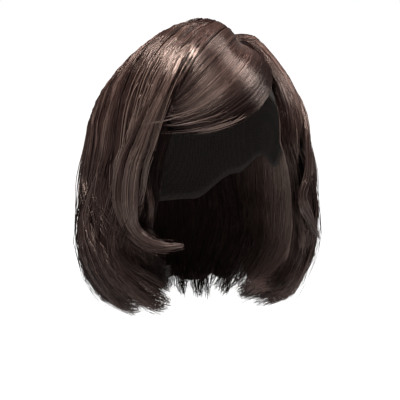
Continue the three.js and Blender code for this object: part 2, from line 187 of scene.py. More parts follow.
def hanging(place, along, depth=0.0, off=0.0, proud=0.0, longer=0.0, lag=0.0, sway=1.0, lean=0.0):
    """Points of the hanging hair. Over the head a strand follows the arc from its root to where it leaves,
    combed up a little beside the parting at the left. Below, it falls straight, waves as a sine and a cosine
    of its length, and ends on a quarter of an ellipse. depth is a share of the wall's thickness going in, and
    off is in mm going out. A strand that leans by some degrees keeps its length, but lies on the wall that it
    leans over."""
    place, along = np.broadcast_arrays(place, along)
    root, leave, tip, lift, stand, flare, curl_z, drop, turn_in, wall = row_at(GUIDES, place)
    drop = drop + longer
    ridge = proud * smoothstep(along, *RIDGES)

    t = np.minimum(along / DOME, 1)
    way = slerp(root_direction(root, np.clip(leave, LEFT, RIGHT)), direction(leave, 0.0), t)
    risen = lerp(ROOT_OVER, lift, smoothstep(t, 0, RISES))
    combed = COMBED_UP * smoothstep(place, *COMBED_FROM) * smoothstep(t, *COMBED_RISES)
    combed = combed * (1 - smoothstep(t, *COMBED_FALLS))
    outer = risen + combed + (stand - lift) * smoothstep(t, RISES, 1) ** LATE + ridge
    over_head = head_point(way, lerp(outer, HAIR_UNDER, depth) + off)

    _, _, _, _, stand, flare, _, _, turn_in, _ = row_at(GUIDES, leaning_over(place, lean))
    w = np.maximum(along - DOME, 0) / (1 - DOME)
    plumb = -RISE - curl_z
    straight = plumb / (plumb + CURL_LENGTH * drop)
    fallen = np.minimum(w / straight, 1)
    turned = np.maximum(w - straight, 0) / (1 - straight) * CURL_TURN
    swing = 2 * np.pi * (TURNS * w + LAG * np.sin(np.radians(LAG_TURNS * leave)) + lag)
    swell = smoothstep(w, BEGINS, FULL) * sway
    drifted = lerp(leave, tip, 1 - (1 - np.minimum(w, 1)) ** DRIFT)
    thick = lerp(lerp(stand - HAIR_UNDER, wall, smoothstep(w, 0, THINS)), TIP_THICK, smoothstep(w, TAPERS, 1))
    bulge = flare * np.sin(fallen * np.pi / 2) + OUTWARD * swell * np.cos(swing)
    inset = depth * (thick + ridge) - ridge - off
    across, downward = np.cos(turned) / turn_in, np.sin(turned) / drop
    slope = np.hypot(across, downward)
    out = stand + bulge - turn_in * (1 - np.cos(turned)) - inset * across / slope
    z = lerp(-RISE, curl_z, fallen) - drop * np.sin(turned) + inset * downward / slope
    below = ring_point(drifted + lean + SIDEWAYS * swell * np.sin(swing), z, out)
    return np.where((along < DOME)[..., None], over_head, below)


print("guides", len(GUIDES), "round the head")

# %% [markdown]
# ## Sections and their locks
# The hair at each side and at the back falls in broad locks, each a rounded ridge between two shallow
# valleys. They could be sculpted by hand, but a short table gives each lock's width, extra length and
# height, and a rounded sine across it gives its ridge, so that any lock can be changed by one number.

# %% Locks of each section
# The power that rounds a ridge, and the share by which hair in a valley is shorter.
CREST_ROUND, VALLEY_SHORTER = 0.8, 0.05

# First and last guide, and for each lock its share of the width, mm longer and mm proud.
SECTIONS = {
    "side_right": (1, 5, [(0.8, -6, 3), (1.1, 2, 4.5), (0.9, -3, 3.5), (1.2, 4, 5), (0.9, 0, 4)]),
    "back": (5, 11, [
        (1.1, 3, 4.5), (0.9, -2, 3.5), (1.2, 2, 4.5), (0.9, -4, 3.5), (1.1, 3, 4.5), (0.9, 0, 4),
    ]),
    "side_left": (11, 15, [(1, 0, 4), (1.2, 4, 5), (0.9, -3, 3.5), (1, 2, 4.5), (0.8, -6, 3)]),
}
FRINGE_LOCKS = (0, 4, [(1, 0, 2), (1.1, 0, 2.5), (0.9, 0, 2), (0.8, 0, 1.5)])

# Columns: place across the guides, share of their length, then in mm the air below, width and thickness.
LOOSE_LOCKS = {
    "front_lock_right": np.array([
        [1.7, 0.05, -4, 12, 2], [1.74, 0.17, 0, 14, 2.5], [1.8, 0.288, 1.5, 16, 4], [2.06, 0.342, 2, 20, 5],
        [2.27, 0.4, 2, 24, 6], [2.24, 0.474, 2, 27, 6], [2.16, 0.54, 2, 28, 6], [1.93, 0.602, 2, 26, 6],
        [1.48, 0.67, 2, 22, 6], [1.16, 0.72, 2, 18, 6], [0.92, 0.754, 1.8, 15, 5.5], [0.74, 0.78, 1.4, 13, 5],
        [0.56, 0.8, 0.8, 10, 4], [0.32, 0.816, 0, 7, 3], [-0.17, 0.824, -2, 2, 1.5],
    ]),
    "flick_left": np.array([
        [13.6, 0.2, -4, 10, 2], [14, 0.3, 0, 12, 3], [14.3, 0.38, 0.8, 14, 4], [14.65, 0.45, 0.8, 15, 4],
        [15.1, 0.53, 0.8, 16, 5], [15.4, 0.595, 0.8, 16, 5], [15.35, 0.645, 1, 14, 5],
        [15.05, 0.675, 1.8, 11, 4], [14.65, 0.69, 4, 7, 3], [14.3, 0.7, 6, 2, 2],
    ]),
}


def lock_of(section, place):
    """Which lock a place is in, and the places of that lock's two edges."""
    first, last, locks = section
    share = np.array(locks)[:, 0]
    edges = first + (last - first) * np.append(0, np.cumsum(share)) / share.sum()
    n = np.clip(np.searchsorted(edges, place, side="right") - 1, 0, len(locks) - 1)
    return n, edges[n], edges[n + 1]


def lock_at(section, place):
    """A place's height proud, extra length and reach: the rounded sine across its lock, times the lock's own
    numbers."""
    _, longer, proud = np.array(section[2]).T
    n, low, high = lock_of(section, place)
    crest = np.sin(np.pi * np.clip((place - low) / (high - low), 0, 1)) ** CREST_ROUND
    return crest * proud[n], crest * longer[n], 1 - VALLEY_SHORTER * (1 - crest)


print("locks:", {name: len(locks) for name, (_, _, locks) in SECTIONS.items()})

# %% [markdown]
# ## The fringe
# The fringe fans out forwards from the front of the parting, swings over the left brow and sweeps down
# across the forehead to the right temple, where the side hair covers its ends. A curve tool could draw each
# strand, but it would leave the head between its points. So each strand is an arc on the head, bent by two
# directions.

# %% Fringe strands' path
# Columns: share of the parting, azimuth and rise of the two bends, share of the front side strand where it
# ends, and mm off the head.
FRINGE = np.array([
    [0.00, 66, 0.64, 2, -0.07, 0.92, 9],
    [0.04, 52, 0.58, -24, 0.03, 0.88, 13],
    [0.08, 27, 0.63, -37, 0.15, 0.83, 16],
    [0.12, 2, 0.70, -42, 0.30, 0.77, 17],
    [0.16, 1, 0.90, -30, 0.71, 0.70, 17],
])

# Azimuth and rise of the ear.
EAR = (-84, 0.12)

# The share of its way that the hair covers, where it has lifted and shows its ridges, then where it has
# thickened and starts to taper, and its thickness in mm.
FRINGE_REACH, FRINGE_LIFTS, FRINGE_RIDGES = 0.98, 0.35, (0.1, 0.6)
FRINGE_THICKENS, FRINGE_TAPERS, FRINGE_THICK = 0.4, 0.8, 7


def fringe_hair(place, along, depth=0.0, off=0.0, proud=0.0, past=0.0):
    """Points of the fringe: arcs from the root to each bend and on to the temple, then arcs between
    those arcs, until one is left. past is the share of the way that its end lies on towards the ear."""
    place, along = np.broadcast_arrays(place, along)
    root, bow, rise, low, fall, end, lifted = row_at(FRINGE, place)
    front = GUIDES[SECTIONS["side_right"][0]]
    start = root_direction(root, RIGHT)
    tucked = slerp(root_direction(front[0], RIGHT), direction(front[1], 0.0), end)
    tucked = slerp(tucked, direction(*EAR), np.broadcast_to(past, tucked.shape[:-1]))
    ways = [start, direction(bow, rise), direction(low, fall), tucked]
    while len(ways) > 1:
        ways = [slerp(a, b, FRINGE_REACH * along) for a, b in zip(ways, ways[1:])]
    ridge = proud * smoothstep(along, *FRINGE_RIDGES)
    outer = lerp(ROOT_OVER, lifted, smoothstep(along, 0, FRINGE_LIFTS)) + ridge
    thick = lerp(ROOT_OVER - HAIR_UNDER, FRINGE_THICK, smoothstep(along, 0, FRINGE_THICKENS))
    thick = lerp(thick, TIP_THICK, smoothstep(along, FRINGE_TAPERS, 1)) + ridge
    return head_point(ways[0], outer - depth * thick + off)


print("fringe guides", len(FRINGE))

# %% [markdown]
# ## One way to make every strand
# A strand is a closed tube that tapers to its tip. Blender's hair curves would be lighter, but a mesh goes
# out to every other program, so a whole section's strands are made at once as one mesh from arrays. Each
# tube has a column of its own tone on the UV map, with its length up the map, so the colour of any strand
# depends only on its tone and on how far down the hair it is.

# %% Mesh from arrays of tubes
TONES = 64


def tubes(name, rings, tone, along, tones=TONES):
    """Closed tubes as one object. rings holds points by tube, station and side, in mm.
    A side quad joins each point to the next one round and to the next station, and strips of faces shut both
    ends. u is the tone's column plus the share of the way round, and v is the share of the hair's length."""
    count, stations, sides = rings.shape[:3]
    middle = rings.mean(2, keepdims=True)
    outward = np.cross(np.roll(rings, -1, 2) - rings, np.gradient(middle, axis=1))
    if (outward * (rings - middle)).sum() < 0:
        rings = rings[:, :, ::-1]

    index = np.arange(count * stations * sides).reshape(count, stations, sides)
    beside = np.roll(index, -1, 2)
    quads = np.stack([index[:, :-1], beside[:, :-1], beside[:, 1:], index[:, 1:]], -1).reshape(-1, 4)
    k = np.arange(max(sides // 2 - 1, 1))
    end = np.array([[0, 1, 2]]) if sides == 3 else np.stack([k, k + 1, sides - 2 - k, sides - 1 - k], -1)
    shut = np.concatenate([index[:, 0][:, end[:, ::-1]], index[:, -1][:, end]]).reshape(-1, end.shape[1])

    u = (tone[:, None] + np.arange(sides + 1) / sides) / tones
    u_quads = np.broadcast_to(
        np.stack([u[:, :-1], u[:, 1:], u[:, 1:], u[:, :-1]], -1)[:, None], (count, stations - 1, sides, 4)
    )
    v_pair = np.stack([along[:, :-1], along[:, :-1], along[:, 1:], along[:, 1:]], -1)
    v_quads = np.broadcast_to(v_pair[:, :, None], u_quads.shape)
    u_points = np.broadcast_to(u[:, None, :-1], index.shape).reshape(-1)
    v_points = np.broadcast_to(along[:, :, None], index.shape).reshape(-1)
    uv = np.concatenate([
        np.stack([u_quads, v_quads], -1).reshape(-1, 2),
        np.stack([u_points[shut], v_points[shut]], -1).reshape(-1, 2),
    ])

    mesh = bpy.data.meshes.new(name)
    mesh.vertices.add(index.size)
    mesh.vertices.foreach_set("co", (rings * MM).astype(np.float32).ravel())
    mesh.loops.add(quads.size + shut.size)
    mesh.loops.foreach_set("vertex_index", np.append(quads, shut).astype(np.int32))
    mesh.polygons.add(len(quads) + len(shut))
    starts = np.append(np.arange(len(quads)) * 4, quads.size + np.arange(len(shut)) * shut.shape[1])
    mesh.polygons.foreach_set("loop_start", starts.astype(np.int32))
    mesh.polygons.foreach_set("use_smooth", np.ones(len(starts), bool))
    mesh.update(calc_edges=True)
    mesh.uv_layers.new(name="OFBake").uv.foreach_set("vector", np.clip(uv, 0, 1).astype(np.float32).ravel())
    piece = bpy.data.objects.new(name, mesh)
    bpy.context.scene.collection.objects.link(piece)
    return piece


print("columns of tone on the UV map:", TONES)

# %% Strands round their paths
STRAND_SIDES, STRAND_TURN, STRAND_RADIUS = 3, np.pi / 6, 0.42

# Shares of that radius: each strand's own, at its root and at its tip, and where it swells and narrows.
OWN_RADIUS, ROOT_SHARE, TIP_SHARE, SWELLS, NARROWS = (0.65, 1.3), 0.6, 0.3, (0, 0.12), (0.66, 1)

# Turns of the two sines, least and most, the second one's share, the share at the root, where they grow.
FRIZZ_TURNS, FRIZZ_SECOND, FRIZZ_AT_ROOT, FRIZZ_GROWS = ([1.2, 2.4], [2.4, 5]), 0.5, 0.12, (0.25, 1)

# A small step aside, in mm, keeps the cross product from vanishing where a strand runs straight out.
ASIDE = np.array([0.3, 0.2, 0.1])


def strand_rings(paths, radius):
    """Rings of points round paths: across is the path's tangent crossed with the way out from the head."""
    tangent = unit(np.gradient(paths, axis=1))
    across = unit(np.cross(tangent, paths - HEAD_CENTRE + ASIDE))
    up = np.cross(tangent, across)
    angle = (2 * np.pi / STRAND_SIDES * np.arange(STRAND_SIDES) + STRAND_TURN)[:, None]
    around = across[:, :, None] * np.cos(angle) + up[:, :, None] * np.sin(angle)
    return paths[:, :, None] + around * radius[:, :, None, None]


def strand_radius(count, share):
    """Radii in mm: each strand has its own, swells from its root and narrows over its last third."""
    own = STRAND_RADIUS * rng.uniform(*OWN_RADIUS, (count, 1))
    swelling = lerp(ROOT_SHARE, 1, smoothstep(share, *SWELLS))
    return own * swelling * lerp(1, TIP_SHARE, smoothstep(share, *NARROWS))


def frizz(count, along, size):
    """A slow wobble in mm: two sines down each strand, with their own phase, that grow towards the tip.
    Each strand's size comes from a gamma distribution with a mean of 1, so a few wobble far more."""
    turns = rng.uniform(*FRIZZ_TURNS, (count, 2))
    phase = rng.uniform(0, 1, (count, 2))
    own = size * rng.gamma(2, 1 / 2, (count, 1))
    wobble = np.sin(2 * np.pi * (turns[:, :1] * along + phase[:, :1]))
    wobble = wobble + FRIZZ_SECOND * np.sin(2 * np.pi * (turns[:, 1:] * along + phase[:, 1:]))
    return own * wobble * lerp(FRIZZ_AT_ROOT, 1, smoothstep(along, *FRIZZ_GROWS))


print("strand width", 2 * STRAND_RADIUS, "mm")

# %% [markdown]
# ## Materials
# The hair is a modified acrylic fibre, drawn through a nozzle and dyed in the mass: smooth, glossy and a
# little mixed in tone, so a lock shows dark, chestnut and pale threads side by side. Blender has a hair
# shader, but it needs hair curves, so a Principled shader on many thin tubes gives the shine here. Colours
# are hex values as seen on a screen, turned to linear light.

# %% Colour and node helpers
def linear(hex_colour):
    """A hex colour in linear light, by the sRGB curve: each channel plus 0.055, over 1.055, to the power 2.4,
    or divided by 12.92 if dark."""
    channels = np.array([int(hex_colour[i:i + 2], 16) for i in (1, 3, 5)]) / 255
    light = np.where(channels <= 0.04045, channels / 12.92, ((channels + 0.055) / 1.055) ** 2.4)
    return (*light.tolist(), 1.0)


def add_node(tree, kind, inputs, **settings):
    """Adds one node with its settings. An input given as a socket is linked, and any other value is set."""
    node = tree.nodes.new(kind)
    for name, value in settings.items():
        setattr(node, name, value)
    for name, value in inputs.items():
        if isinstance(value, bpy.types.NodeSocket):
            tree.links.new(value, node.inputs[name])
        else:
            node.inputs[name].default_value = value
    return node


def new_material(name):
    """An empty node material and its Principled shader."""
    material = bpy.data.materials.new(name)
    material.use_nodes = True
    return material, material.node_tree, material.node_tree.nodes["Principled BSDF"]


print("a middle grey is", round(linear("#808080")[0], 3), "in linear light")

# %% Acrylic fibre
# Where along the hair a tint begins and is full, and its colour: warm at the crown, cool at the ends.
LENGTH_TINTS = [(0.5, 0.15, "#ffe2d8"), (0.45, 1.0, "#e6d0d0")]
# The roots' tint, where it ends and its colour: partly the pale base showing, partly a painted sheen.
ROOTS_END, ROOTS_SHOW, ROOTS_BASE_AND_SHEEN = 0.02, 0.5, "#86736c"
FIBRE_IOR, FIBRE_SHEEN = 1.52, "#ffdccb"


def fibre_material(name, dark, middle, pale, roughness):
    """Hair by tone and length: u picks from dark to pale, and v warms the crown and cools the ends.
    At the roots a pale tint is partly the base that the hair is knotted through, showing between the fibres,
    and partly a painted sheen. The darkest tones are painted shade on fibres that lie deep in a lock, so they
    shine less too."""
    material, tree, shader = new_material(name)
    at = add_node(tree, "ShaderNodeSeparateXYZ", {
        "Vector": add_node(tree, "ShaderNodeUVMap", {}, uv_map="OFBake").outputs["UV"],
    })
    tone, length = at.outputs["X"], at.outputs["Y"]
    lower = add_node(tree, "ShaderNodeMapRange", {"Value": tone, "From Min": 0.0, "From Max": 0.55})
    upper = add_node(tree, "ShaderNodeMapRange", {"Value": tone, "From Min": 0.5, "From Max": 1.0})
    colour = add_node(tree, "ShaderNodeMixRGB", {
        "Fac": lower.outputs["Result"], "Color1": linear(dark), "Color2": linear(middle),
    })
    colour = add_node(tree, "ShaderNodeMixRGB", {
        "Fac": upper.outputs["Result"], "Color1": colour.outputs["Color"], "Color2": linear(pale),
    })
    for first, last, tint in LENGTH_TINTS:
        share = add_node(tree, "ShaderNodeMapRange", {"Value": length, "From Min": first, "From Max": last})
        colour = add_node(tree, "ShaderNodeMixRGB", {
            "Fac": share.outputs["Result"], "Color1": colour.outputs["Color"], "Color2": linear(tint),
        }, blend_type="MULTIPLY")
    roots = add_node(tree, "ShaderNodeMapRange", {
        "Value": length, "From Min": 0.0, "From Max": ROOTS_END, "To Min": ROOTS_SHOW, "To Max": 0.0,
    })
    colour = add_node(tree, "ShaderNodeMixRGB", {
        "Fac": roots.outputs["Result"], "Color1": colour.outputs["Color"], "Color2": linear(ROOTS_BASE_AND_SHEEN),
    })
    tree.links.new(colour.outputs["Color"], shader.inputs["Base Color"])
    shine = add_node(tree, "ShaderNodeMapRange", {
        "Value": tone, "From Min": 0.08, "From Max": 0.3, "To Min": 0.08, "To Max": 0.5,
    })
    tree.links.new(shine.outputs["Result"], shader.inputs["Specular IOR Level"])
    shader.inputs["Specular Tint"].default_value = linear(FIBRE_SHEEN)
    shader.inputs["Roughness"].default_value = roughness
    shader.inputs["IOR"].default_value = FIBRE_IOR
    return material


fibre = fibre_material("acrylic_fibre", "#0c0808", "#271b19", "#695c56", 0.25)
print("material", fibre.name)

# %% Matted underlayer
# Streaks across a section and down it.
MAT_STREAKS = (220.0, 3.0, 1.0)


def mat_material(name):
    """The hair under the top strands, in shadow: the same fibre, dark, with streaks down its length. They are
    a noise stretched along v, about 2 mm apart, coarser than fibres so that they show."""
    material, tree, shader = new_material(name)
    uv = add_node(tree, "ShaderNodeUVMap", {}, uv_map="OFBake")
    stretched = add_node(tree, "ShaderNodeMapping", {
        "Vector": uv.outputs["UV"], "Scale": MAT_STREAKS,
    })
    streak = add_node(tree, "ShaderNodeTexNoise", {
        "Vector": stretched.outputs["Vector"], "Scale": 1.0, "Detail": 2.0, "Roughness": 0.6,
    })
    # Both colours are painted shade: near black for the hair in shadow under the top strands.
    colour = add_node(tree, "ShaderNodeMixRGB", {
        "Fac": streak.outputs["Fac"], "Color1": linear("#070505"), "Color2": linear("#171010"),
    })
    bump = add_node(tree, "ShaderNodeBump", {
        "Height": streak.outputs["Fac"], "Strength": 0.6, "Distance": 0.0008,
    })
    tree.links.new(colour.outputs["Color"], shader.inputs["Base Color"])
    tree.links.new(bump.outputs["Normal"], shader.inputs["Normal"])
    shader.inputs["Roughness"].default_value = 0.8
    shader.inputs["Specular IOR Level"].default_value = 0.05
    return material


matted = mat_material("matted_fibre")
print("material", matted.name)

# %% [markdown]
# ## Cap
# The cap is a stretch net, knitted in small cells, that the rows of hair are sewn to. It shows only from
# inside and below. Real holes would cost a great many faces, so it is a thin wall from a grid of azimuths
# and heights, and the cells are drawn by its material.

# %% Cap
# Azimuth and height of the cap's edge, from the forehead round to the nape.
CAP_EDGE = np.array([
    [0, -38], [22, -42], [42, -62], [62, -84], [78, -122], [96, -112], [118, -132], [150, -158], [180, -160],
])
CAP_COLUMNS, CAP_ROWS, CAP_TOP = 96, 36, 0.004
NET_CELL = 0.0024


def cap_edge(azimuth):
    """The edge's height: eased from one bend of the table to the next, the same on both sides."""
    a = np.abs(azimuth)
    i = np.clip(np.searchsorted(CAP_EDGE[:, 0], a) - 1, 0, len(CAP_EDGE) - 2)
    (low, low_z), (high, high_z) = CAP_EDGE[i].T, CAP_EDGE[i + 1].T
    return lerp(low_z, high_z, smoothstep(a, low, high))


def cap_grid(out):
    """Rows of points down the dome, an even share of the angle from the top to the edge, by azimuth."""
    azimuth = np.linspace(-180, 180, CAP_COLUMNS, endpoint=False)
    above = cap_edge(azimuth) + RISE
    lowest = np.arccos(above / np.where(above > 0, RISE, FALL))
    share = np.linspace(CAP_TOP, 1, CAP_ROWS)[:, None]
    return head_point(direction(azimuth, np.cos(lowest * share)), np.full((CAP_ROWS, CAP_COLUMNS), out))


# The cap is one closed tube: down the outside to the edge, and back up the inside.
cap_rings = np.concatenate([cap_grid(CAP_THICK), cap_grid(0.0)[::-1]])[None]
cap = tubes("net_cap", cap_rings, np.zeros(1), np.linspace(0, 1, 2 * CAP_ROWS)[None], tones=1)


def net_material(name):
    """Stretch net: dark threads in cells 2.4 mm wide, coarser than the real 1 mm so that they show."""
    material, tree, shader = new_material(name)
    place = add_node(tree, "ShaderNodeTexCoord", {})
    cells = add_node(tree, "ShaderNodeTexVoronoi", {
        "Vector": place.outputs["Object"], "Scale": 1 / NET_CELL, "Randomness": 0.35,
    }, feature="DISTANCE_TO_EDGE")
    thread = add_node(tree, "ShaderNodeMapRange", {
        "Value": cells.outputs["Distance"], "From Min": 0.05, "From Max": 0.2, "To Min": 1.0, "To Max": 0.0,
    })
    colour = add_node(tree, "ShaderNodeMixRGB", {
        "Fac": thread.outputs["Result"], "Color1": linear("#120d0b"), "Color2": linear("#2a201c"),
    })
    bump = add_node(tree, "ShaderNodeBump", {
        "Height": thread.outputs["Result"], "Strength": 0.5, "Distance": 0.0004,
    })
    tree.links.new(colour.outputs["Color"], shader.inputs["Base Color"])
    tree.links.new(bump.outputs["Normal"], shader.inputs["Normal"])
    shader.inputs["Roughness"].default_value = 0.85
    return material


cap.data.materials.append(net_material("stretch_net"))
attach(cap, "root")
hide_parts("cap")
print("cap faces", len(cap.data.polygons))

# %% [markdown]
# ## Parting strip
# The strip in the parting is a matt skin-coloured base that the hair is knotted through. Its solid already
# has its true form, so it keeps that and only gets a material, with a faint grain instead of a flat colour.

# %% Parting strip
SCALP_GRAIN = 0.001


def scalp_material(name):
    """Skin-coloured base: matt, faintly mottled, with a fine grain about 1 mm across."""
    material, tree, shader = new_material(name)
    place = add_node(tree, "ShaderNodeTexCoord", {})
    mottle = add_node(tree, "ShaderNodeTexNoise", {
        "Vector": place.outputs["Object"], "Scale": 1 / SCALP_GRAIN, "Detail": 3.0,
    })
    colour = add_node(tree, "ShaderNodeMixRGB", {
        "Fac": mottle.outputs["Fac"], "Color1": linear("#a3877a"), "Color2": linear("#cbb3a8"),
    })
    tree.links.new(colour.outputs["Color"], shader.inputs["Base Color"])
    shader.inputs["Roughness"].default_value = 0.7
    return material


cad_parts["parting_strip"].data.materials.clear()
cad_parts["parting_strip"].data.materials.append(scalp_material("scalp_base"))
print("strip dressed")

# %% [markdown]
# ## The mat under the strands
# If only strands were drawn, light would show through between them, and far more would be needed.
# So each section has a mat, a closed wall with the same locks a little inside the wall's outer face, which
# reads as the darker hair between the top strands: its near-black colour is painted shade.

# %% Mats of the sections
MAT_STATIONS, MAT_COLUMNS, MAT_MARGIN = 44, 49, 0.02

# Mm that its outer face lies inside the wall's, where that sets in, and where it closes and ends.
MAT_INSET, MAT_SINKS, MAT_CLOSES, MAT_END = 2.6, (0, 0.12), 0.7, 0.9

# How even its end is, its length at its sides, over how many guides, and its share of extra length.
MAT_EVEN, MAT_SHORT, MAT_SIDE, MAT_LONGER = 0.7, 0.95, 0.4, 0.4

# Depths of its outer and inner faces at the end, as shares of the wall.
MAT_LIPS = (0.2, 0.7)


def section_mat(name, section, points):
    """A ring at each station: the outer face across the section, then the inner face back again."""
    first, last, _ = section
    place = np.linspace(first + MAT_MARGIN, last - MAT_MARGIN, MAT_COLUMNS)[None, :]
    proud, longer, reach = lock_at(section, place)
    sides = smoothstep(np.minimum(place - first, last - place), 0, MAT_SIDE)
    along = np.linspace(0, MAT_END, MAT_STATIONS)[:, None] * lerp(reach, 1, MAT_EVEN)
    along = along * lerp(MAT_SHORT, 1, sides)
    inset = MAT_INSET * smoothstep(along, *MAT_SINKS)
    ends = smoothstep(along, MAT_CLOSES, MAT_END)
    extra = {"longer": MAT_LONGER * longer} if points is hanging else {}
    outer = points(place, along, MAT_LIPS[0] * ends, -inset, proud, **extra)
    inner = points(place, along, lerp(1.0, MAT_LIPS[1], ends), 0.0, proud, **extra)
    rings = np.concatenate([outer, inner[:, ::-1]], 1)[None]
    return tubes(name, rings, np.zeros(1), np.linspace(0, 1, MAT_STATIONS)[None], tones=1)


def dress(piece, material, *nodes):
    """Gives a hair piece its material and its body, and hides the solids that it stands for."""
    piece.data.materials.append(material)
    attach(piece, "root")
    if nodes:
        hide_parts(*nodes)
    return piece


for section_name, section in SECTIONS.items():
    dress(section_mat(section_name + "_mat", section, hanging), matted, section_name)
dress(section_mat("fringe_mat", FRINGE_LOCKS, fringe_hair), matted, "fringe")
print("mats made")

# %% [markdown]
# ## Strands in tufts and layers
# Loose hair gathers in tufts about a finger's width across that narrow and twist towards their ends. A
# layered cut has a long bottom layer and shorter ones over it, whose tips sweep towards the face one above
# the other. Blender can comb hair by brush, but here each strand gets a place in its tuft's cross-section,
# across and out. Down the tuft that place turns and closes in, the whole tuft ripples, and the strand adds
# a small wobble.

# %% Tuft maths
# Mm between two guides, and from the head's axis to the hair.
GUIDE_MM, WALL_RADIUS = 37, 105

# A tuft's place in its share of the width, its half width and depth in mm, how far under its middle it
# reaches as a share of that depth, and mm that it lies in the wall.
TUFT_PLACES, TUFT_WIDE, TUFT_DEEP, TUFT_UNDER, TUFT_SUNK = (0.2, 0.8), 6, 2.6, -0.6, 1.2

# Where along the hair a tuft starts to turn and to close, and how flat it stays as it turns.
TURNS_FROM, CLOSES_FROM, TURN_FLAT = 0.35, 0.3, 0.6

# A strand's own spread of tone, how much paler each mm out is (painted shade on the deeper strands), and the
# share and step of the pale ones.
TONE_OWN, TONE_OUT, PALE_SHARE, PALE_STEP = 0.07, 0.06, 0.03, 0.3

# The row of a loose lock's table from which it lies on the hair, points along it, and its soft edge in mm.
LOCK_LIES_FROM, LOCK_POINTS, LOCK_SOFT = 2, 50, 6


def middles_of(first, last, tufts):
    """Places of tufts: one in each equal share of the width, anywhere but near that share's edges."""
    return first + (last - first) * (np.arange(tufts) + rng.uniform(*TUFT_PLACES, tufts)) / tufts


def in_tuft(count):
    """Each strand's place in its tuft's cross-section, across and out, in mm. The tuft is round on top."""
    across = TUFT_WIDE * rng.uniform(-1, 1, (count, 1))
    height = TUFT_DEEP * (1 - (across / TUFT_WIDE) ** 2)
    return across, height * rng.uniform(TUFT_UNDER, 1, (count, 1)) - TUFT_SUNK


def gathered(across, out, along, twist, pull):
    """A place in the tuft, turned by the twist and drawn in by the pull as it goes down the strand."""
    turn = twist * smoothstep(along, TURNS_FROM, 1)
    left = 1 - pull * smoothstep(along, CLOSES_FROM, 1)
    x = (across * np.cos(turn) - out * np.sin(turn)) * left
    y = (across * np.sin(turn) * TURN_FLAT + out * np.cos(turn)) * left
    return x, y


def tone_column(tone):
    """The UV map's column for a tone from 0, dark, to 1, pale, kept off the map's two edges."""
    return np.clip(np.round(tone * TONES), 1, TONES - 2)


def tones_for(tuft, out, middle, mixed=0.06):
    """A tone column for each strand: its tuft's, its own, and painted shade, darker the deeper it lies.
    A few are pale.
    """
    of_tuft = rng.normal(0, mixed, tuft.max() + 1)[tuft]
    pale = np.where(rng.random(len(tuft)) < PALE_SHARE, PALE_STEP, 0)
    own = rng.normal(0, TONE_OWN, len(tuft))
    return tone_column(middle + of_tuft + own + TONE_OUT * np.minimum(out[:, 0], 1) + pale)


def unrolled(points):
    """Points of the hanging hair laid out flat in mm: the way round the head, and the height."""
    round_head = WALL_RADIUS * np.arctan2(points[..., 0], -points[..., 1])
    return np.stack([round_head, points[..., 2]], -1)


def under_lock(paths, table):
    """How far points lie under a loose lock: 1 within its width, easing to 0 outside its soft edge."""
    place, along, _, wide, _ = row_at(table, np.linspace(LOCK_LIES_FROM, len(table) - 1, LOCK_POINTS))
    away = unrolled(paths)[:, :, None] - unrolled(hanging(place, along))
    outside = np.linalg.norm(away, axis=-1) - wide / 2
    return 1 - smoothstep(outside.min(-1), 0, LOCK_SOFT)


print("tuft width", 2 * TUFT_WIDE, "mm")

# %% Strands of the hanging sections
STATIONS = 15
STEPS = np.linspace(0, 1, STATIONS)[None, :]

# Strands in a section, the guide at the nape, and the guides from there to where tips lean fully.
STRAND_COUNT, NAPE, NAPE_GUIDES = 2280, 8, 3

# Tufts in all of a section, how far its tips lean towards the face, and its tone.
STRANDS = {"side_right": (38, 1.0, 0.32), "back": (56, 0.45, 0.42), "side_left": (38, 0.6, 0.38)}

# Share of the tufts, where their tips begin and end, mm that they stand out, and degrees of lean.
LAYERS = np.array([
    [0.52, 0.95, 1.00, 0.0, 6],
    [0.27, 0.82, 0.90, 1.0, 26],
    [0.21, 0.69, 0.77, 2.2, 38],
])

# Strands that come out from under others: their share, where they start, mm under and where they are out.
UNDER_SHARE, UNDER_STARTS, UNDER_MM, UNDER_ENDS = 0.4, (0.08, 0.34), 4, 0.08

# A tuft's twist in radians, its pull from least to most, the bottom layer's share of that, and the ripple's
# turns, how loosely strands keep to it, where it swells, and mm sideways and outwards.
TWIST, PULL, BOTTOM_PULL = 1.1, (0.1, 0.7), 0.55
RIPPLES, RIPPLE_LOOSE, RIPPLE_SWELLS, RIPPLE_MM = (2, 3.4), 0.04, (0.4, 0.8), (2.6, 1.5)

# A strand's own length against its tuft's, mm that it wobbles, drifts and spreads at its tip, where it
# spreads, and the share of that in the upper layers.
TIP_EVEN, WOBBLE_MM, DRIFT_MM = 0.96, (0.8, 0.5), 1.8
SPREAD_MM, SPREADS, UPPER_SPREAD = (2.2, 1.4), (0.7, 1), 0.4

# Where the layers stand out, how uneven the tufts are in mm, and the share and height of flyaway strands.
STANDS_OUT, TUFT_UNEVEN, FLYAWAY_SHARE, FLYAWAY_MM = (0.25, 0.7), 0.9, 0.03, (2, 7)

# How far tufts draw to their lock's middle and where, guides past a section's edge, and mm longer.
LOCK_GATHER, GATHERS, PAST_EDGE, OWN_LONGER = 0.3, (0.3, 0.7), 0.08, (-4, 5)

# At the right cheek the hair is longer and its tips come forward. Its front edge stands up on the crown.
CHEEK_LONGER, CHEEK_GUIDES, CHEEK_AHEAD = 10, (1.4, 3), 5
CROWN_EDGE, CROWN_GUIDES, CROWN_RISES, CROWN_FALLS = 1.5, (1.2, 2.2), (0.08, 0.16), (0.28, 0.4)

# A strand's share of its tuft's lean, the share of its length that leans, its wave's lag and sway, and mm
# that it is pressed in under a loose lock.
OWN_LEAN, LEANS_OVER, OWN_LAG, OWN_SWAY, PRESSED = (0.7, 1.3), 0.3, 0.09, (0.9, 2.4), 5

# Steps of tone: paler in each upper layer, mixed by tuft, and painted shade, darker in valleys and at the
# cheek's edge.
TONE_LAYER, TONE_MIXED, VALLEY_SHADE, CREST_MM, CHEEK_SHADE, CHEEK_EDGE = 0.05, 0.11, 0.14, 4, 0.34, (1.3, 1.7)


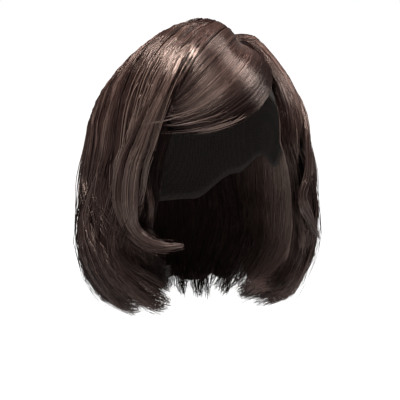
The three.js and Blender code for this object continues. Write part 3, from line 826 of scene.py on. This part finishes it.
def hanging_strands(name, tufts, leaning, tone):
    """Every strand of a section: its tuft's path, plus its own place in the tuft, drift, wobble, start and
    end. The tips lean towards the face, the more the further they are from the nape."""
    count = STRAND_COUNT
    first, last, _ = SECTIONS[name]
    many = np.round(LAYERS[:, 0] * tufts).astype(int)
    layer = np.repeat(np.arange(len(LAYERS)), many)
    middles = np.concatenate([middles_of(first, last, n) for n in many])
    tuft = np.arange(count) % len(layer)

    def of_tuft(values):
        """A column with each strand's value, from the values of the tufts."""
        return values[tuft][:, None]

    _, tips_from, tips_to, stands, leans = LAYERS[layer].T
    tip = rng.uniform(tips_from, tips_to)
    under = rng.random((count, 1)) < UNDER_SHARE
    start = np.where(under, rng.uniform(*UNDER_STARTS, (count, 1)), 0.0)
    along = lerp(start, of_tuft(tip) * rng.uniform(TIP_EVEN, 1, (count, 1)), STEPS)
    across, out = in_tuft(count)
    pull = rng.uniform(*PULL, (count, 1)) * of_tuft(np.where(layer == 0, BOTTOM_PULL, 1))
    x, y = gathered(across, out, along, of_tuft(rng.normal(0, TWIST, len(tip))), pull)

    turns, phase = of_tuft(rng.uniform(*RIPPLES, len(tip))), of_tuft(rng.random(len(tip)))
    ripple = 2 * np.pi * (turns * along + phase + rng.normal(0, RIPPLE_LOOSE, (count, 1)))
    swell = smoothstep(along, *RIPPLE_SWELLS)
    flyaway = np.where(rng.random((count, 1)) < FLYAWAY_SHARE, rng.uniform(*FLYAWAY_MM, (count, 1)), 0)
    risen = flyaway + of_tuft(stands + rng.normal(0, TUFT_UNEVEN, len(tip)))
    spread = smoothstep(STEPS, *SPREADS) ** 2 * of_tuft(np.where(layer == 0, 1, UPPER_SPREAD))
    x = x + frizz(count, along, WOBBLE_MM[0]) + RIPPLE_MM[0] * swell * np.sin(ripple)
    x = x + rng.normal(0, DRIFT_MM, (count, 1)) * along
    y = y + frizz(count, along, WOBBLE_MM[1]) + RIPPLE_MM[1] * swell * np.cos(ripple)
    y = y + risen * smoothstep(along, *STANDS_OUT)
    x = x + rng.normal(0, SPREAD_MM[0], (count, 1)) * spread
    y = y + rng.normal(0, SPREAD_MM[1], (count, 1)) * spread
    y = y - UNDER_MM * under * (1 - smoothstep(along - start, 0, UNDER_ENDS))

    _, low, high = lock_of(SECTIONS[name], middles)
    inward = LOCK_GATHER * of_tuft((low + high) / 2 - middles) * smoothstep(along, *GATHERS)
    place = np.clip(of_tuft(middles) + inward + x / GUIDE_MM, first - PAST_EDGE, last + PAST_EDGE)
    proud, longer, reach = lock_at(SECTIONS[name], place)
    longer = longer + rng.uniform(*OWN_LONGER, (count, 1))
    longer = longer + CHEEK_LONGER * (1 - smoothstep(place, *CHEEK_GUIDES))
    reach = lerp(reach, 1, rng.random((count, 1)))
    edge = CROWN_EDGE * (1 - smoothstep(place, *CROWN_GUIDES))
    y = y + edge * smoothstep(along, *CROWN_RISES) * (1 - smoothstep(along, *CROWN_FALLS))

    towards = leaning * of_tuft(leans) * np.clip((NAPE - of_tuft(middles)) / NAPE_GUIDES, -1, 1)
    ahead = of_tuft(np.where(layer == 0, 0, CHEEK_AHEAD))
    tips = GUIDES[:, 2]
    tip_azimuth = np.interp(of_tuft(middles), np.arange(len(GUIDES)), tips)
    left_limit, right_limit = tips[SECTIONS["side_left"][1]] - ahead, tips[SECTIONS["side_right"][0]] + ahead
    lean = towards * rng.uniform(*OWN_LEAN, (count, 1))
    lean = np.clip(lean, left_limit - tip_azimuth, right_limit - tip_azimuth)
    lean = lean * np.clip((along - of_tuft(tip) + LEANS_OVER) / LEANS_OVER, 0, 1) ** 2
    lag, sway = of_tuft(rng.normal(0, OWN_LAG, len(tip))), of_tuft(rng.uniform(*OWN_SWAY, len(tip)))
    loose = hanging(place, along * reach, 0.0, y, proud, longer, lag, sway, lean)
    y = y - PRESSED * np.max([under_lock(loose, table) for table in LOOSE_LOCKS.values()], axis=0)
    paths = hanging(place, along * reach, 0.0, y, proud, longer, lag, sway, lean)
    rings = strand_rings(paths, strand_radius(count, STEPS))

    # Painted shade: strands are darker in a lock's valleys and at the cheek's front edge.
    dark = VALLEY_SHADE * (1 - proud[:, STATIONS // 2] / CREST_MM)
    dark = dark + CHEEK_SHADE * (1 - smoothstep(middles[tuft], *CHEEK_EDGE))
    tones = tones_for(tuft, out, tone + TONE_LAYER * layer[tuft] - dark, TONE_MIXED)
    return tubes(name + "_strands", rings, tones, along)


for section_name, settings in STRANDS.items():
    piece = dress(hanging_strands(section_name, *settings), fibre)
    print(piece.name, len(piece.data.polygons), "faces")

# %% [markdown]
# ## Hair inside and at the edges
# Seen from below or through the face opening, the walls show their inner faces and the edges beside the
# cheeks. A texture would leave those faces smooth, so shorter strands on them keep them hair. Others lie
# over the crown's front edge, so that the crown runs on into the fringe.

# %% Inner and edge strands
INNER_STATIONS = 10
INNER_STEPS = np.linspace(0, 1, INNER_STATIONS)[None, :]

# Strands on the inner faces, on each front edge and over the crown's front edge.
INNER_COUNT, EDGE_COUNT, CROWN_COUNT = 1780, 160, 390

# Where strands start and end along the hair, inside and on the crown, and mm that they wobble, lie in the
# wall and are longer.
INNER_STARTS, INNER_ENDS, CROWN_STARTS, CROWN_ENDS = (0.1, 0.5), (0.9, 1.02), (0, 0.02), (0.2, 0.36)
INNER_WOBBLE, INNER_SUNK, INNER_LONGER = (1.2, 0.4), 0.6, (-6, 8)

# Guides either side of an edge, depths in it, guides that the crown's strands cover and from where they lie
# on top, mm that they lie over it, and where they come up.
EDGE_GUIDES, EDGE_DEPTHS, CROWN_WIDE = 0.05, (0, 0.9), 0.6
CROWN_ON_TOP, CROWN_OVER, CROWN_LIFTS = 0.06, 1.6, (0.02, 0.12)

# Tones of the inner faces, from painted shade to painted light between two guides, of the two edges, dark
# as painted shade, and of the crown.
INNER_TONES, LIT_GUIDES, EDGE_SHADE_TONES, CROWN_TONE, INNER_MIXED = (0.18, 0.9), (10.5, 13), (0.05, 0.2), 0.5, 0.06


def inner_strands():
    """Strands on the walls' inner faces, from under the cap down to the ends, through the two front edges,
    and over the crown's front edge. Each is a guide's path at a depth of its own, with a wobble."""
    first, last = SECTIONS["side_right"][0], SECTIONS["side_left"][1]
    many = [INNER_COUNT, EDGE_COUNT, EDGE_COUNT, CROWN_COUNT]
    count = sum(many)
    kind = np.repeat(np.arange(len(many)), many)[:, None]
    inner, crown = kind == 0, kind == len(many) - 1
    anywhere = rng.uniform(first, last, (count, 1))
    over_crown = first + rng.uniform(0, CROWN_WIDE, (count, 1))
    place = np.choose(kind, [anywhere, first, last, over_crown])
    place = place + np.where(inner, 0, rng.uniform(-EDGE_GUIDES, EDGE_GUIDES, (count, 1)))
    depth = np.where(inner, 1, rng.uniform(*EDGE_DEPTHS, (count, 1)))
    depth = np.where(crown & (place > first + CROWN_ON_TOP), 0, depth)
    start = np.where(crown, rng.uniform(*CROWN_STARTS, (count, 1)), rng.uniform(*INNER_STARTS, (count, 1)))
    end = np.where(crown, rng.uniform(*CROWN_ENDS, (count, 1)), rng.uniform(*INNER_ENDS, (count, 1)))
    along = lerp(start, end, INNER_STEPS)
    wander = frizz(count, along, INNER_WOBBLE[0]) / GUIDE_MM
    off = frizz(count, along, INNER_WOBBLE[1]) - INNER_SUNK * depth
    off = off + CROWN_OVER * crown * smoothstep(along, *CROWN_LIFTS)
    paths = hanging(place + wander, along, depth, off, 0.0, rng.uniform(*INNER_LONGER, (count, 1)))
    rings = strand_rings(paths, strand_radius(count, INNER_STEPS))
    lit = lerp(*INNER_TONES, smoothstep(place, *LIT_GUIDES))
    # Painted shade and light: the inner faces grow lighter towards the wearer's left, and the front edges are
    # dark.
    tone = rng.normal(np.choose(kind, [lit, *EDGE_SHADE_TONES, CROWN_TONE]), INNER_MIXED)[:, 0]
    return tubes("inner_strands", rings, tone_column(tone), along)


piece = dress(inner_strands(), fibre)
print(piece.name, len(piece.data.polygons), "faces")

# %% [markdown]
# ## Hair rooted in the strip
# In a parting the hair is knotted through the strip, fibre by fibre, and is combed away to both sides. The
# sections start beside the strip, so short strands that start on it and lie down on them hide that edge.

# %% Hair rooted in the strip
# Points down a strand, and its share of the usual radius.
ROOT_STATIONS, FINE = 9, 0.8

# Mm from the parting's middle and over the head of a strand's first two points, on the strip and beside it.
ROOT_ON, STRIP_TOP, ROOT_BESIDE, ROOT_RISE = (-0.6, 1.2), 2.5, (1.2, 2), 5.6

# Where along the hair the rest of it begins and ends, its own share of that, mm that it wobbles and lies
# over the hair, and the mean and spread of its tone.
ROOT_FIRST, ROOT_REACH, ROOT_ENDS = 0.006, 0.11, (0.6, 1)
ROOT_WOBBLE, ROOT_OFF, ROOT_TONE = 1.5, (0, 1.2), (0.36, 0.1)

# First and last guide of each side of the parting, and how many strands it has.
ROOT_SIDES = [(1, 5, 80), (5, 11, 40), (11, 15, 80)]


def root_strands():
    """Strands that start on the strip, rise beside its edge and lie down on the hair that they belong to."""
    place = np.concatenate([rng.uniform(first, last, many) for first, last, many in ROOT_SIDES])[:, None]
    count = len(place)
    root, leave = row_at(GUIDES, place)[:2]
    side, level = np.clip(leave, LEFT, RIGHT), np.ones((count, 1))
    on_strip = root_direction(root, side, rng.uniform(*ROOT_ON, (count, 1)))
    beside = root_direction(root, side, rng.uniform(*ROOT_BESIDE, (count, 1)))
    over = np.linspace(ROOT_FIRST, ROOT_REACH, ROOT_STATIONS - 2)[None, :]
    over = over * rng.uniform(*ROOT_ENDS, (count, 1))
    wander = frizz(count, over, ROOT_WOBBLE) / GUIDE_MM
    lying = hanging(place + wander, over, 0.0, rng.uniform(*ROOT_OFF, (count, 1)))
    rising = [head_point(on_strip, STRIP_TOP * level), head_point(beside, ROOT_RISE * level)]
    paths = np.concatenate([*rising, lying], 1)
    share = np.linspace(0, 1, ROOT_STATIONS)[None, :]
    rings = strand_rings(paths, FINE * strand_radius(count, share))
    tones = tone_column(rng.normal(*ROOT_TONE, count))
    return tubes("root_strands", rings, tones, np.concatenate([np.zeros((count, 2)), over], 1))


piece = dress(root_strands(), fibre)
print(piece.name, len(piece.data.polygons), "faces")

# %% [markdown]
# ## Strands of the fringe
# The fringe is combed flatter than the rest, so its tufts are narrower and hardly wave. They use the same
# maths as the hanging sections, on the fringe's own arcs. The last strands rise to meet the crown without a
# step.

# %% Strands of the fringe
# Strands, tufts, and mm between two of the fringe's guides.
FRINGE_COUNT, FRINGE_TUFTS, FRINGE_GUIDE_MM = 1400, 16, 16

# The last strands rise by some mm to meet the crown: the guides over which that sets in, and where it does.
FRINGE_MEETS, MEETS_FROM, MEETS_RISES, MEETS_FALLS = 5.6, (2.6, 3.9), (0.03, 0.25), (0.75, 1)

# Where strands end, their tufts' shares of the usual size, twist and pull, and guides past the edges.
FRINGE_ENDS, FRINGE_TUFT = (0.84, 1.05), (0.7, 0.6)
FRINGE_TWIST, FRINGE_PULL, FRINGE_PAST = 0.5, 0.4, (0.05, 0.1)

# Mm that strands wobble and drift, how uneven the tufts are, and those that hang below the edge: their
# share, guides below, and where.
FRINGE_WOBBLE, FRINGE_DRIFT, FRINGE_UNEVEN = (0.35, 0.3), 1.2, 0.8
HANG_SHARE, HANG_GUIDES, HANGS_FROM = 0.08, (0, 0.35), (0.2, 0.8)

# Tones of the lower edge, darker as painted shade, and of the rest, between two guides, and its length
# against the other hair's.
FRINGE_TONES, FRINGE_SHADE, FRINGE_LENGTH = (0.11, 0.52), (0.5, 2.3), 0.5


def fringe_strands():
    """The fringe's strands, in tufts across its guides. A few hang below its edge, and the last rise."""
    count = FRINGE_COUNT
    first, last, _ = FRINGE_LOCKS
    tuft = np.arange(count) % FRINGE_TUFTS
    middle = middles_of(first, last, FRINGE_TUFTS)[tuft][:, None]
    along = rng.uniform(*FRINGE_ENDS, (count, 1)) * STEPS
    across, out = in_tuft(count)
    twist = rng.normal(0, FRINGE_TWIST, FRINGE_TUFTS)[tuft][:, None]
    x, y = gathered(FRINGE_TUFT[0] * across, FRINGE_TUFT[1] * out, along, twist, FRINGE_PULL)
    x = x + frizz(count, along, FRINGE_WOBBLE[0]) + rng.normal(0, FRINGE_DRIFT, (count, 1)) * along
    y = y + frizz(count, along, FRINGE_WOBBLE[1]) + rng.normal(0, FRINGE_UNEVEN, FRINGE_TUFTS)[tuft][:, None]
    hangs = np.where(rng.random((count, 1)) < HANG_SHARE, rng.uniform(*HANG_GUIDES, (count, 1)), 0)
    place = np.clip(middle + x / FRINGE_GUIDE_MM, first - FRINGE_PAST[0], last + FRINGE_PAST[1])
    place = place - hangs * smoothstep(along, *HANGS_FROM)
    proud, _, _ = lock_at(FRINGE_LOCKS, place)
    meets = smoothstep(along, *MEETS_RISES) * (1 - smoothstep(along, *MEETS_FALLS))
    y = y + FRINGE_MEETS * smoothstep(place, *MEETS_FROM) * meets
    paths = fringe_hair(place, along, 0.0, y, proud)
    rings = strand_rings(paths, strand_radius(count, STEPS))
    # Painted shade: the fringe is darker towards its lower edge.
    tone = lerp(*FRINGE_TONES, smoothstep(middle[:, 0], *FRINGE_SHADE))
    return tubes("fringe_strands", rings, tones_for(tuft, out, tone), along * FRINGE_LENGTH)


piece = dress(fringe_strands(), fibre)
print(piece.name, len(piece.data.polygons), "faces")

# %% [markdown]
# ## Loose locks
# A lock frames the right cheek, and a wave at the left flicks out. Each is a flat bundle of a few thinner
# locks that starts among the hair of the crown, lies over its section and frays at its tip. One swept tube
# would look like a ribbon, so its strands are carried along the rows of its table, which give its place,
# width and so on.

# %% Loose locks
# Mm of the ridge that a lock lies on, and the thinner locks' waves: turns, shares of width and thickness.
LOCK_CREST, SUB_WAVES, SUB_SWAY, SUB_RISE = 5, 1.2, 0.1, 0.14

# The strands' uneven ends, as a share of the length and a power, their twist, mm that they wobble and fray,
# and where they fray.
LOCK_UNEVEN, LOCK_ENDS, LOCK_TWIST = 0.2, 1.4, 0.5
LOCK_WOBBLE, FRAY, FRAYS = (0.5, 0.4), (1.3, 0.9), (0.62, 1)
LOCK_TONE, LOCK_MIXED = 0.58, 0.12

# For each thinner lock its middle and half width, as shares of the whole's, its end and its wave's phase.
SUBLOCKS = np.array([
    [-0.8, 0.21, 0.94, 0.1], [-0.42, 0.22, 0.97, 0.55], [0.02, 0.26, 1, 0.3], [0.44, 0.2, 0.95, 0.8],
    [0.8, 0.2, 0.92, 0.4],
])
LOOSE_STRANDS = {"front_lock_right": 420, "flick_left": 260}
LOOSE_STATIONS = 20
LOOSE_STEPS = np.linspace(0, 1, LOOSE_STATIONS)[None, :]


def loose_lock(name, table):
    """Strands that keep to their thinner lock's share of the width as the whole lock changes down the table.
    The thinner locks cross a little, on a sine across the lock and a cosine out of it."""
    count = LOOSE_STRANDS[name]
    sub = np.arange(count) % len(SUBLOCKS)
    middle, half, end, phase = SUBLOCKS[sub].T[:, :, None]
    end = end * (1 - LOCK_UNEVEN * rng.uniform(0, 1, (count, 1)) ** LOCK_ENDS)
    place, along, air, wide, thick = row_at(table, (len(table) - 1) * end * LOOSE_STEPS)
    wave = 2 * np.pi * (SUB_WAVES * LOOSE_STEPS + phase)
    turn = rng.uniform(0, 2 * np.pi, (count, 1)) + rng.normal(0, LOCK_TWIST, (count, 1)) * LOOSE_STEPS
    far = np.sqrt(rng.uniform(0, 1, (count, 1)))
    x = (middle + SUB_SWAY * np.sin(wave) + far * np.cos(turn) * half) * wide / 2
    y = (far * np.sin(turn) / 2 + SUB_RISE * np.cos(wave)) * thick
    frayed = smoothstep(LOOSE_STEPS, *FRAYS) ** 2
    x = x + frizz(count, LOOSE_STEPS, LOCK_WOBBLE[0]) + FRAY[0] * rng.normal(0, 1, (count, 1)) * frayed
    y = y + frizz(count, LOOSE_STEPS, LOCK_WOBBLE[1]) + FRAY[1] * rng.normal(0, 1, (count, 1)) * frayed
    centre = hanging(place, along, 0.0, air + thick / 2, LOCK_CREST)
    out = unit(hanging(place, along, 0.0, air + thick / 2 + 1, LOCK_CREST) - centre)
    across = unit(np.cross(np.gradient(centre, axis=1), out))
    paths = centre + across * x[..., None] + out * y[..., None]
    rings = strand_rings(paths, strand_radius(count, LOOSE_STEPS))
    tones = tones_for(sub, y[:, :1], LOCK_TONE, LOCK_MIXED)
    return dress(tubes(name + "_strands", rings, tones, along), fibre, name)


for lock_name, table in LOOSE_LOCKS.items():
    piece = loose_lock(lock_name, table)
    print(piece.name, len(piece.data.polygons), "faces")

# %% [markdown]
# ## Stray strands
# However well a wig is combed, single strands come loose, lie across the others and catch the light. They
# could be painted on, but about a hundred thin pale tubes, each on an arch from hair to hair, also break up
# the even surface when it is seen from the side, and cost few faces.

# %% Stray strands
STRAYS, WISPS = 100, 20

# Strays: where they start and end along the hair, their guides, mm that their ends sink and their middles
# rise, the arch's power, mm that they wobble, and the ridge that they lie on.
STRAY_STARTS, STRAY_ENDS, STRAY_GUIDES = (0.12, 0.4), (0.4, 0.75), (1.2, 3)
STRAY_SINKS, STRAY_RISES, STRAY_ARCH, STRAY_WOBBLE, STRAY_CREST = 3, (2, 6), 0.5, (4, 0.8), 3.0

# Wisps: the same along the fringe, where they lift, come out of it, and how far they go on towards the ear.
WISP_STARTS, WISP_ENDS, WISP_GUIDES, WISP_PAST = (0.55, 0.75), (0.8, 1), (0, 2), (0.1, 0.6)
WISP_SINKS, WISP_RISES, WISP_LIFTS, WISP_OUT = 4, 12, (0.55, 0.95), 0.5
WISP_WOBBLE, WISP_CREST = (0.6, 1.2), 2.0
# Tones of the strays and wisps, pale as painted light where loose strands catch it, and their spread.
STRAY_TONES, STRAY_MIXED = (0.9, 0.7), 0.12


def stray_strands():
    """Single pale strands that have come loose over the right side, each on the root of a sine, and the
    fringe's ends past the temple."""
    along = lerp(rng.uniform(*STRAY_STARTS, (STRAYS, 1)), rng.uniform(*STRAY_ENDS, (STRAYS, 1)), STEPS)
    place = rng.uniform(*STRAY_GUIDES, (STRAYS, 1)) + frizz(STRAYS, along, STRAY_WOBBLE[0]) / GUIDE_MM
    arch = np.sin(np.pi * STEPS) ** STRAY_ARCH
    off = -STRAY_SINKS + (STRAY_SINKS + rng.uniform(*STRAY_RISES, (STRAYS, 1))) * arch
    off = off + frizz(STRAYS, along, STRAY_WOBBLE[1])
    loose = hanging(place, along, 0.0, off, STRAY_CREST)

    past = lerp(rng.uniform(*WISP_STARTS, (WISPS, 1)), rng.uniform(*WISP_ENDS, (WISPS, 1)), STEPS)
    over = frizz(WISPS, past, WISP_WOBBLE[0]) - WISP_SINKS
    over = over + (WISP_SINKS + WISP_RISES * smoothstep(past, *WISP_LIFTS)) * smoothstep(STEPS, 0, WISP_OUT)
    row = rng.uniform(*WISP_GUIDES, (WISPS, 1)) + frizz(WISPS, past, WISP_WOBBLE[1]) / FRINGE_GUIDE_MM
    wisps = fringe_hair(row, past, 0.0, over, WISP_CREST, rng.uniform(*WISP_PAST, (WISPS, 1)))

    paths = np.concatenate([loose, wisps])
    rings = strand_rings(paths, FINE * strand_radius(len(paths), STEPS))
    tone = rng.normal(np.repeat(STRAY_TONES, [STRAYS, WISPS]), STRAY_MIXED)
    return tubes("stray_strands", rings, tone_column(tone), np.concatenate([along, past * FRINGE_LENGTH]))


piece = dress(stray_strands(), fibre)
print(piece.name, len(piece.data.polygons), "faces")

# %% [markdown]
# ## Floor, light and camera
# The wig is worn, so it hangs clear of a plain pale floor, which throws soft light up under it. Only the
# camera sees the floor and the sky as nearly white. Wide soft lights keep the shine in long bands.

# %% Floor
FLOOR_Z, FLOOR_HALF, FLOOR_GREY, FLOOR_GLOW = -0.62, 40.0, 0.85, 0.95
floor_mesh = bpy.data.meshes.new("floor")
corners = FLOOR_HALF * np.array([[-1, -1], [1, -1], [1, 1], [-1, 1]])
floor_mesh.from_pydata(np.column_stack([corners, np.full(4, FLOOR_Z)]).tolist(), [], [(0, 1, 2, 3)])
floor = bpy.data.objects.new("floor", floor_mesh)
bpy.context.scene.collection.objects.link(floor)
floor_material, floor_tree, floor_shader = new_material("pale_floor")
floor_shader.inputs["Base Color"].default_value = (FLOOR_GREY, FLOOR_GREY, FLOOR_GREY, 1)
floor_shader.inputs["Roughness"].default_value = 0.9
floor_shader.inputs["Emission Color"].default_value = (1, 1, 1, 1)
seen = add_node(floor_tree, "ShaderNodeLightPath", {})
glow = add_node(floor_tree, "ShaderNodeMapRange", {
    "Value": seen.outputs["Is Camera Ray"], "To Min": 0.0, "To Max": FLOOR_GLOW,
})
floor_tree.links.new(glow.outputs["Result"], floor_shader.inputs["Emission Strength"])
floor.data.materials.append(floor_material)
print("floor at", FLOOR_Z, "m")

# %% Lights
# Each light's place and the point that it faces, its size, all in m, and its power in watts.
LIGHTS = {
    "overhead_left": ((-0.5, -0.25, 1.15), (0, 0, -0.05), 0.5, 48),
    "overhead_right": ((0.75, -0.5, 0.9), (0, 0, -0.05), 0.5, 21),
    "front_left": ((-1.5, -1.9, 0.5), (0, 0, -0.15), 1.2, 9),
}
SKY_LIGHT = 0.19


def area_light(name, place, aim, size, power):
    """A square soft light that faces a point, in watts."""
    data = bpy.data.lights.new(name, "AREA")
    data.size, data.energy = size, power
    light = bpy.data.objects.new(name, data)
    light.location = place
    light.rotation_euler = (Vector(aim) - Vector(place)).to_track_quat("-Z", "Y").to_euler()
    bpy.context.scene.collection.objects.link(light)


for light_name, settings in LIGHTS.items():
    area_light(light_name, *settings)
world = bpy.data.worlds.new("studio")
bpy.context.scene.world = world
world.use_nodes = True
sky = world.node_tree.nodes["Background"]
seen = add_node(world.node_tree, "ShaderNodeLightPath", {})
strength = add_node(world.node_tree, "ShaderNodeMapRange", {
    "Value": seen.outputs["Is Camera Ray"], "To Min": SKY_LIGHT, "To Max": 1.0,
})
world.node_tree.links.new(strength.outputs["Result"], sky.inputs["Strength"])
sky.inputs["Color"].default_value = (1, 1, 1, 1)
bpy.context.scene.view_settings.view_transform = "Standard"
print("lights:", sorted(LIGHTS))

# %% Camera
# The camera's direction from the wig, its distance and the width that it sees there in m, its sensor in mm.
AZIMUTH, ELEVATION, DISTANCE, FIELD, SENSOR = np.radians(-28), np.radians(7), 1.7, 0.38, 36
AIM = Vector((0.0, 0.0, -0.151))
toward = Vector((
    np.sin(AZIMUTH) * np.cos(ELEVATION), -np.cos(AZIMUTH) * np.cos(ELEVATION), np.sin(ELEVATION),
))
camera = bpy.data.objects.new("camera", bpy.data.cameras.new("camera"))
camera.data.sensor_width = SENSOR
camera.data.lens = SENSOR * DISTANCE / FIELD
camera.location = AIM + toward * DISTANCE
camera.rotation_euler = toward.to_track_quat("Z", "Y").to_euler()
bpy.context.scene.collection.objects.link(camera)
bpy.context.scene.camera = camera
print("camera at", [round(c, 3) for c in camera.location])
